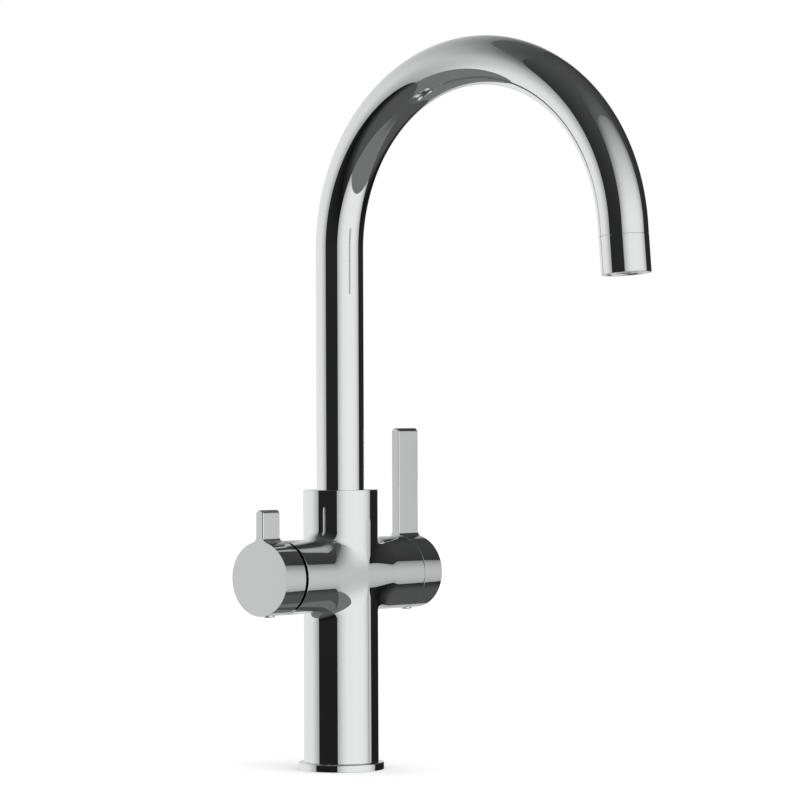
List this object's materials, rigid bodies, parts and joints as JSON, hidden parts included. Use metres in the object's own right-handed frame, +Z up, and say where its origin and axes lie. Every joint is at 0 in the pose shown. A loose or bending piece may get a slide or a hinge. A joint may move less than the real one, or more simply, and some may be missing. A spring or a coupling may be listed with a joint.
{
  "type": "boiling water tap",
  "caption": "Deck-mounted kitchen tap with a gooseneck swivel spout, a push-and-turn lever for boiling water and a long lever for mixed water on a cross barrel.",
  "frame": {"origin": "centre of the base's underside, on the worktop plane", "axes": "+Z up, the spout reaches along -Y, the barrel lies along X with the boiling lever at -X"},
  "size_m": [0.1243, 0.2281, 0.3853],
  "materials": {
    "chrome_plate": "polished chrome plate over brass",
    "brass": "turned brass",
    "copper": "drawn copper pipe",
    "stainless": "plain stainless steel",
    "seal_rubber": "moulded rubber",
    "valve_ceramic": "ground ceramic",
    "inner_plastic": "moulded plastic"
  },
  "bodies": {
    "tap_body": {"base_gasket": "seal_rubber", "base_flange": "chrome_plate", "base_manifold": "brass", "riser_boiling": "copper", "riser_cold": "copper", "riser_hot": "copper", "body": "chrome_plate", "spout_glide_ring": "inner_plastic", "spout_keeper_screw": "stainless", "boiling_tube_seal": "seal_rubber", "boil_headwork": "brass", "boil_seat_seal": "seal_rubber", "boil_fixed_disc": "valve_ceramic", "boil_spindle_seal": "seal_rubber", "boil_lock_ring": "stainless", "boil_return_spring": "stainless", "mixer_housing": "inner_plastic", "mixer_base_seal": "seal_rubber", "mixer_fixed_disc": "valve_ceramic", "mixer_spindle_seal": "seal_rubber", "mixer_retaining_nut": "stainless"},
    "spout": {"spout_spigot": "brass", "spigot_sealing_rings": "seal_rubber", "spout_tube": "chrome_plate", "boiling_tube": "inner_plastic", "tube_spacers": "inner_plastic", "outlet_bush": "brass", "outlet_sealing_ring": "seal_rubber", "outlet_collar": "chrome_plate", "outlet_flow_insert": "inner_plastic", "boiling_nozzle": "stainless"},
    "boil_stem": {"boil_spindle": "brass", "boil_turning_disc": "valve_ceramic", "boil_end_screw": "stainless"},
    "boil_lever": {"boil_adapter": "brass", "boil_lock_pin": "stainless", "boil_handle": "chrome_plate", "boil_fixing_screw": "stainless", "boil_screw_plug": "chrome_plate"},
    "mixer_lever": {"mixer_spindle": "brass", "mixer_turning_disc": "valve_ceramic", "mixer_end_screw": "stainless", "mixer_adapter": "brass", "mixer_handle": "chrome_plate", "mixer_fixing_screw": "stainless", "mixer_screw_plug": "chrome_plate"}
  },
  "joints": [
    {"name": "spout_swivel", "type": "hinge", "parent": "tap_body", "child": "spout", "pos_m": [0, 0, 0.1492], "axis": [0, 0, 1], "range_deg": [-90, 90]},
    {"name": "boil_turn", "type": "hinge", "parent": "tap_body", "child": "boil_stem", "pos_m": [-0.05, 0, 0.1036], "axis": [1, 0, 0], "range_deg": [0, 90], "stiffness_Nm_per_rad": 0.15, "springref_deg": -20.05},
    {"name": "boil_push", "type": "slide", "parent": "boil_stem", "child": "boil_lever", "axis": [1, 0, 0], "range_m": [0, 0.0018], "stiffness_N_per_m": 4000, "springref_m": -0.0025, "deforming": ["boil_return_spring"]},
    {"name": "mixer_turn", "type": "hinge", "parent": "tap_body", "child": "mixer_lever", "pos_m": [0.05, 0, 0.1036], "axis": [1, 0, 0], "range_deg": [0, 90]}
  ]
}
